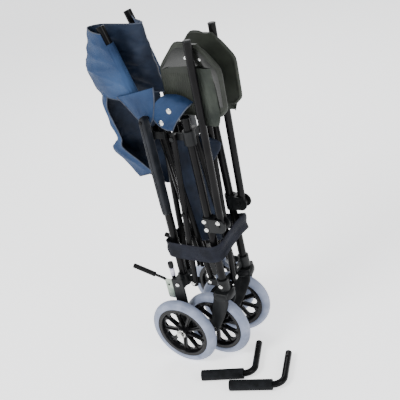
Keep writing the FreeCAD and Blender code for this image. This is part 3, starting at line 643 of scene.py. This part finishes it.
# (how far back, height) of the near hem at the same folds
near_hem = ((-0.098, 0.806), (-0.112, 0.764), (-0.102, 0.718), (-0.092, 0.676),
            (-0.096, 0.650), (-0.052, 0.612), (-0.014, 0.580))
net = []
for (z, x), (near_x, near_z) in zip(folds, near_hem):
    fall = (0.812 - z) * 0.16
    net.append([(near_x, -0.058, near_z), (near_x * 0.5 + x * 0.5, -0.056, near_z * 0.5 + z * 0.5),
                (x * 0.985, -0.050, z), (x, -0.042, z), (x * 0.985, -0.032, z),
                (x * 0.82, -0.012, z - 0.003 - fall * 0.3),
                (x * 0.50, 0.010, z - 0.008 - fall), (x * 0.22 - 0.006, 0.034, z - 0.012 - fall),
                (-0.014, 0.049, z - 0.014 - fall * 0.8)])
pouch = draped(np.swapaxes(np.array(net), 0, 1), 120, 80, 0.0050, 9)
sack = sewn("rear_pouch", pouch)
across_chair(sack)
for label, line in (("top", pouch[::6, 0]), ("bottom", pouch[::6, -1]), ("near", pouch[0, ::4])):
    edge = hem("rear_pouch_%s_hem" % label, line)
    across_chair(edge)

# ---- Side flap -----------------------------------------------------------------------------
# The clothing guard: a triangle of the same nylon tied to the near post, running down to a
# narrow strip, with a dark bound edge.

# (height, rear edge, front edge)
flap_rows = ((0.803, -0.058, 0.066), (0.778, -0.036, 0.058), (0.752, -0.016, 0.044),
             (0.724, 0.004, 0.026), (0.685, 0.009, 0.017), (0.620, 0.007, 0.0145),
             (0.560, 0.006, 0.0135), (0.498, 0.006, 0.0115))
net = []
for k, (z, left, right) in enumerate(flap_rows):
    depth = -0.0765 if z > 0.71 else -0.0735
    rise = 0.030 * (1 - k / 2.0) if k < 2 else 0.0
    net.append([(left, depth + 0.004, z), (left * 0.6 + right * 0.4, depth - 0.002, z + rise * 0.4),
                (right, depth, z + rise)])
flap = draped(np.array(net).swapaxes(0, 1), 30, 100, 0.0014, 3)[::-1]
guard = sewn("side_flap", flap)
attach(guard, "rear_right")
for label, line in (("rear", flap[0]), ("front", flap[-1])):
    edge = hem("side_flap_%s_hem" % label, line[::5], 0.0018)
    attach(edge, "rear_right")

# ---- Seat corner ---------------------------------------------------------------------------
# The front corner of the seat cloth, doubled over the near leg's top and riveted through twice.
corner_net = np.array([
    [(0.036, -0.0735, 0.757), (0.050, -0.078, 0.738), (0.070, -0.079, 0.722), (0.094, -0.077, 0.716)],
    [(0.050, -0.076, 0.778), (0.066, -0.080, 0.760), (0.084, -0.0805, 0.742), (0.104, -0.0785, 0.730)],
    [(0.064, -0.075, 0.795), (0.084, -0.080, 0.780), (0.104, -0.080, 0.762), (0.122, -0.0785, 0.752)],
    [(0.080, -0.071, 0.806), (0.106, -0.074, 0.800), (0.128, -0.075, 0.790), (0.148, -0.072, 0.778)],
    [(0.086, -0.056, 0.806), (0.112, -0.054, 0.806), (0.136, -0.052, 0.798), (0.156, -0.050, 0.784)]])
corner = draped(corner_net.swapaxes(0, 1), 60, 60, 0.0018, 11)
cap = sewn("seat_corner", corner)
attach(cap, "front_right")
for k, (x, z, y) in enumerate(((0.098, 0.772, -0.0798), (0.066, 0.738, -0.0795))):
    dome("seat_corner_rivet_%d" % k, here([x, y, z]), [0.0, -1, 0.1], 0.0075, 0.0020, "front_right")
for label, line in (("low", corner[-1]), ("side", corner[:, 0])):
    edge = hem("seat_corner_%s_hem" % label, line[::4], 0.0017)
    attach(edge, "front_right")

# ---- Seat sling ----------------------------------------------------------------------------
# The seat hangs between its two rails, which swing down as the chair folds; the slack stands
# forward in one long lobe with a point of cloth between the crossing bars.
rail_x, rail_y = 0.0425, 0.029
# (height, how far forward the lobe stands)
seat_rows = ((0.672, 0.020), (0.655, 0.078), (0.640, 0.086), (0.606, 0.064), (0.572, 0.036),
             (0.530, 0.034), (0.480, 0.030), (0.420, 0.034), (0.352, 0.030))
net = []
for z, reach in seat_rows:
    x1 = 0.050 + 0.032
    tip = x1 + reach
    wide = 0.0145 if z < 0.62 else 0.011
    neck = 0.0042 if 0.56 < z < 0.665 else 0.009
    net.append([(rail_x + 0.009, -rail_y, z), (x1 * 0.82, -wide - 0.004, z), (x1, -wide, z),
                (x1 + reach * 0.45, -neck, z),
                (tip, -neck * 0.5, z), (tip, neck * 0.5, z), (x1 + reach * 0.45, neck, z), (x1, wide, z),
                (x1 * 0.82, wide + 0.004, z), (rail_x + 0.009, rail_y, z)])
seat = draped(np.swapaxes(np.array(net), 0, 1), 90, 80, 0.0010, 6)
# Its back takes the dark navy lining, which is partly painted shade for the seat lying in shade between the
# rails.
sling = sewn("seat_sling_cloth", seat)
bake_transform(sling)
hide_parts("seat_sling")

# ---- Bundle strap --------------------------------------------------------------------------
# Wide charcoal-navy webbing wrapped round the folded frame and pressed shut on itself, its free
# end slack round the footrest side.
webbing = Finish("webbing", (0.022, 0.024, 0.036), 0.7, Specular_IOR_Level=0.15)
webbing.mottled_colour(webbing.noise(30.0, 5.0), (0.005, 0.006, 0.010), (0.014, 0.016, 0.026))
webbing.bump(webbing.wave(330.0, "Z"), 0.0005, 0.7)
webbing.bump(webbing.noise(14.0, 6.0), 0.003, 0.5)
# the way round the bundle: forward, sideways, and how far the band climbs
loop = np.array([(-0.019, -0.050, 0.0), (-0.016, -0.078, 0.0), (0.020, -0.0835, -0.001),
                 (0.070, -0.0815, -0.003), (0.120, -0.084, 0.000), (0.146, -0.076, 0.004),
                 (0.156, -0.060, 0.012), (0.158, -0.030, 0.020), (0.160, 0.020, 0.026),
                 (0.162, 0.058, 0.026), (0.148, 0.078, 0.014), (0.100, 0.083, 0.003),
                 (0.040, 0.0825, 0.0), (-0.008, 0.081, 0.0), (-0.019, 0.060, 0.0), (-0.0185, 0.000, 0.0)])
strap_low, strap_high = 0.330, 0.378
rows = []
for k, z in enumerate(np.linspace(strap_high, strap_low, 7)):
    ring_points = loop.copy()
    ring_points[:, 2] += z
    ring_points[:, 0] += 0.002 * math.sin(k * 1.3)
    rows.append(ring_points)
rows = np.array(rows)
closed = np.concatenate([rows, rows[:, :2]], 1)
band = draped(np.swapaxes(closed, 0, 1), 170, 22, 0.0005, 8)[:-9]
strap = sewn("bundle_strap_webbing", band, webbing, webbing, 0.0018)
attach(strap, "front_right")
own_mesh(strap)
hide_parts("bundle_strap")

# ---- Footplates ----------------------------------------------------------------------------
# Moulded plates in dark green-grey nylon: a rolled rim, fine ribs on the rear of the tread, a
# glossy toe band arched over the top, and a heel cloth sewn under it. Rivets hold the band.
plate_stuff = Finish("footplate", (0.03, 0.034, 0.028), 0.5, Specular_IOR_Level=0.25)
plate_stuff.mottled_colour(plate_stuff.noise(24.0, 6.0), (0.011, 0.013, 0.010), (0.026, 0.030, 0.023))
plate_stuff.bump(plate_stuff.noise(900.0, 3.0), 0.0002, 0.5)
band_gloss = Finish("toe_band", (0.010, 0.011, 0.010), 0.24)
band_gloss.mottled_colour(band_gloss.noise(30.0, 5.0), (0.006, 0.007, 0.006), (0.018, 0.019, 0.017))
heel_cloth = Finish("heel_cloth", (0.05, 0.06, 0.052), 0.75, Specular_IOR_Level=0.2)
heel_cloth.mottled_colour(heel_cloth.noise(18.0, 7.0), (0.016, 0.020, 0.017), (0.044, 0.051, 0.042))
heel_weave = heel_cloth.maths("ADD", heel_cloth.wave(420.0, "X"), heel_cloth.wave(420.0, "Z"))
heel_cloth.bump(heel_weave, 0.0002, 0.5)
heel_cloth.bump(heel_cloth.noise(20.0, 8.0), 0.003, 0.6)
plate_lean, pivot_x, pivot_height = math.radians(2), 0.164, 0.440
plate_face, plate_top, plate_foot = 0.042, 0.9295, 0.7475
plate_rear, plate_front, plate_bevel, bevel_rise, plate_corner = -0.102, 0.062, 0.052, 0.062, 0.018
tread_ribs = 14


def on_plate(px, y, pz):
    """Chair-frame points from distances ahead of the hanger, heights, and y, leant with it."""
    px, y, pz = np.broadcast_arrays(np.asarray(px, float), y, pz)
    c, n = math.cos(plate_lean), math.sin(plate_lean)
    up = pz - pivot_height
    return np.stack([pivot_x + c * px + n * up, y, pivot_height - n * px + c * up], -1)


outline = np.array([(plate_rear, plate_foot + plate_corner), (plate_rear + plate_corner, plate_foot),
                    (plate_front - plate_corner, plate_foot), (plate_front, plate_foot + plate_corner),
                    (plate_front, plate_top - bevel_rise), (plate_front - plate_bevel, plate_top),
                    (plate_rear + plate_bevel, plate_top), (plate_rear, plate_top - bevel_rise)])
rim_line = np.concatenate([np.linspace(a, b, 9)[:-1] for a, b in zip(outline, np.roll(outline, -1, 0))])
rim_line = 0.25 * np.roll(rim_line, 1, 0) + 0.5 * rim_line + 0.25 * np.roll(rim_line, -1, 0)
rim_line = np.concatenate([rim_line, rim_line[:1]])
by_hanger = np.exp(-(rim_line[:, 0] / 0.022) ** 4) * (rim_line[:, 1] > 0.9)
rim_line[:, 1] -= 0.0048 * by_hanger
toe_outer = np.array([(-0.099, 0.868), (-0.086, 0.886), (-0.066, 0.911), (-0.048, 0.924),
                      (-0.020, 0.925), (0.006, 0.924),
                      (0.030, 0.899), (0.052, 0.870), (0.0585, 0.840), (0.0585, 0.800), (0.0575, 0.772)])
toe_inner = np.array([(-0.097, 0.862), (-0.080, 0.866), (-0.060, 0.868), (-0.040, 0.869),
                      (-0.018, 0.871), (0.002, 0.871),
                      (0.020, 0.862), (0.034, 0.845), (0.041, 0.822), (0.044, 0.795), (0.046, 0.772)])
for side, s in sides:
    body = "footplate_" + side
    dress(plate_stuff, body)
    rim_path = on_plate(rim_line[:, 0], s * (plate_face - 0.0045), rim_line[:, 1])
    rim = carried("footplate_rim_" + side, here(rim_path), 0.0056 - 0.0022 * by_hanger, plate_stuff, 14)
    # ribs: a comb of half sine waves raised off the tread, sunk into it along the border
    u, v = np.meshgrid(np.linspace(0, 1, tread_ribs * 8 + 1), np.linspace(0, 1, 14), indexing="ij")
    comb = np.maximum(np.sin(u * tread_ribs * 2 * np.pi), -0.25)
    inside = (u > 0.001) & (u < 0.999) & (v > 0.001) & (v < 0.999)
    lift = np.where(inside, 0.0004 + 0.0011 * comb, -0.0012)
    tread_grid = on_plate(-0.096 + 0.088 * u, s * (plate_face + lift), 0.757 + 0.104 * v)
    ribs = surface("footplate_ribs_" + side, here(tread_grid[::s]), plate_stuff)
    layers = [eased((1 - share) * toe_outer + share * toe_inner, 60)
              for share in (0.0, 0.25, 0.5, 0.75, 1.0)]
    stand = (-0.001, 0.0026, 0.0034, 0.0026, -0.001)
    toe_grid = np.stack([on_plate(line[:, 0], s * (plate_face + out), line[:, 1])
                         for line, out in zip(layers, stand)], 0)
    toe = surface("footplate_toe_band_" + side, here(toe_grid[::-s]), band_gloss)
    for piece in (rim, ribs, toe):
        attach(piece, body)
    heel_net = []
    for pz, wide in ((0.872, 0.0), (0.850, 0.35), (0.815, 0.8), (0.780, 1.0), (0.748, 0.9), (0.722, 0.5)):
        low_side = -0.010 - 0.004 * wide
        out = np.array([0.0008, 0.0040, 0.0050 + 0.0022 * wide, 0.0062 + 0.0040 * wide, 0.0008])
        along = np.array([low_side, 0.004, 0.016, 0.030, 0.046 + (0.0 if pz > 0.74 else -0.008)])
        heel_net.append(on_plate(along, s * (plate_face + out), pz))
    heel = draped(np.swapaxes(np.array(heel_net), 0, 1), 50, 80, 0.0019, 20 + s)
    pocket = sewn("heel_cloth_" + side, heel[::-s], heel_cloth, heel_cloth)
    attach(pocket, body)
    for k, (px, pz) in enumerate(((-0.024, 0.896), (0.015, 0.893))):
        dome("toe_band_rivet_%d_%s" % (k, side), here(on_plate(px, s * (plate_face + 0.0024), pz)),
             [0, s, 0], 0.0042, 0.0024, body)

# ---- Tube plugs ----------------------------------------------------------------------------
# Black nylon plugs pressed into the tops of the front legs and of the footrest hangers.
leg_end, hanger_end = 0.7448, 0.9447
for side, s in sides:
    dome("leg_plug_" + side, here([leg_x, s * upright_y, leg_end]), [0, 0, 1], 0.0118, 0.0042,
         "front_" + side, nylon)
    dome("hanger_plug_" + side, here(on_plate(0.0, s * upright_y, hanger_end)),
         [math.sin(plate_lean), 0, math.cos(plate_lean)], 0.0107, 0.0035,
         "hanger_" + side, nylon)

# ---- Armrests ------------------------------------------------------------------------------
# Foam boards wrapped in black vinyl with a piped seam all round, folded down beside the frame.
vinyl = Finish("black_vinyl", (0.008, 0.009, 0.011), 0.42, Specular_IOR_Level=0.2)
vinyl.mottled_colour(vinyl.noise(30.0, 6.0), (0.005, 0.006, 0.008), (0.014, 0.016, 0.021))
vinyl.bump(vinyl.noise(320.0, 6.0), 0.0004, 0.5)
for side, s in sides:
    low, high = (np.array(corner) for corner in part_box("armrest_" + side))
    centre, half_size = (low + high) / 2, (high - low) / 2
    v = np.linspace(-1, 1, 90)
    swell = (1 - np.abs(v) ** 14) ** (1 / 6) * (1 - 0.05 * v ** 2)
    swell[[0, -1]] = 0.02
    angle = np.linspace(0, 2 * np.pi, 56, endpoint=False)
    box_x = np.sign(np.cos(angle)) * np.abs(np.cos(angle)) ** 0.55
    box_y = np.sign(np.sin(angle)) * np.abs(np.sin(angle)) ** 0.55
    pinch = 1 - 0.10 * np.exp(-(np.cos(angle) / 0.16) ** 2)
    ripple = 1 + 0.010 * np.sin(v[:, None] * 31 + 2 * np.sin(3 * angle)[None, :])
    grid = np.stack([centre[0] + half_size[0] * swell[:, None] * box_x * ripple,
                     centre[1] + half_size[1] * swell[:, None] * box_y * pinch * ripple,
                     centre[2] + half_size[2] * v[:, None] + 0 * box_x[None, :]], -1)
    pad = surface("armrest_pad_" + side, grid, vinyl, close_v=True)
    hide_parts("armrest_" + side)
    ring_v = np.concatenate([v[3:-3], v[3:-3][::-1]])
    ring_side = np.concatenate([np.ones(84), -np.ones(84)])
    edge_swell = np.interp(ring_v, v, swell)
    line = np.stack([np.full(168, centre[0]), centre[1] + ring_side * half_size[1] * edge_swell * 0.91,
                     centre[2] + half_size[2] * ring_v], 1)
    piping = carried("armrest_piping_" + side, np.concatenate([line, line[:1]]), 0.0016, vinyl, 8)
    for piece in (pad, piping):
        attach(piece, "armrest_" + side)

# ---- Parking peg ---------------------------------------------------------------------------
# A short capped tube behind the near axle plate with a plain paper tag wrapped round it.
tag = Finish("plain_tag", (0.62, 0.60, 0.72), 0.55)
tag.mottled_colour(tag.noise(60.0, 4.0), (0.48, 0.46, 0.60), (0.74, 0.72, 0.80))
peg_x, peg_y = -0.0195, -0.0815
peg_line = here([(peg_x, peg_y, z) for z in np.linspace(0.246, 0.300, 12)])
peg = carried("peg_tube", peg_line, 0.0055, enamel, 20)
tag_profile = [(0.0058, 0.0), (0.0064, 0.0), (0.0065, 0.012), (0.0064, 0.024), (0.0058, 0.024)]
wrap = closed_lathe("peg_tag", tag_profile, here([peg_x, peg_y, 0.266]), np.array([0.0, 0.0, 1.0]), tag, 32)
cap_profile = [(0.0074, 0.0), (0.0078, 0.002), (0.0078, 0.014), (0.0070, 0.0165),
               (0.0040, 0.0178), (0.0006, 0.0180)]
peg_cap = lathe("peg_cap", cap_profile, here([peg_x, peg_y, 0.292]), [0, 0, 1], nylon, 28)
for piece, slot in ((peg, "frame_paint"), (wrap, "grip"), (peg_cap, "moulding")):
    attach(piece, "rear_right")

# ---- Wheel nuts ----------------------------------------------------------------------------
# A hexagon lock nut over a washer on each rear axle.
# (name, distance from the mid-plane, sides, radius, height)
fasteners = (("washer", 0.1350, 32, 0.0118, 0.0012), ("hex", 0.1420, 6, 0.0098, 0.0042))
for side, s in sides:
    for label, reach, steps, radius, height in fasteners:
        profile = [(radius, 0.0), (radius, height * 0.8), (radius * 0.88, height)]
        piece = lathe("axle_%s_%s" % (label, side), profile, here([0.0, s * reach, wheel_r]),
                      [0, s, 0], bright, steps, smooth=False)
        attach(piece, "rear_" + side)
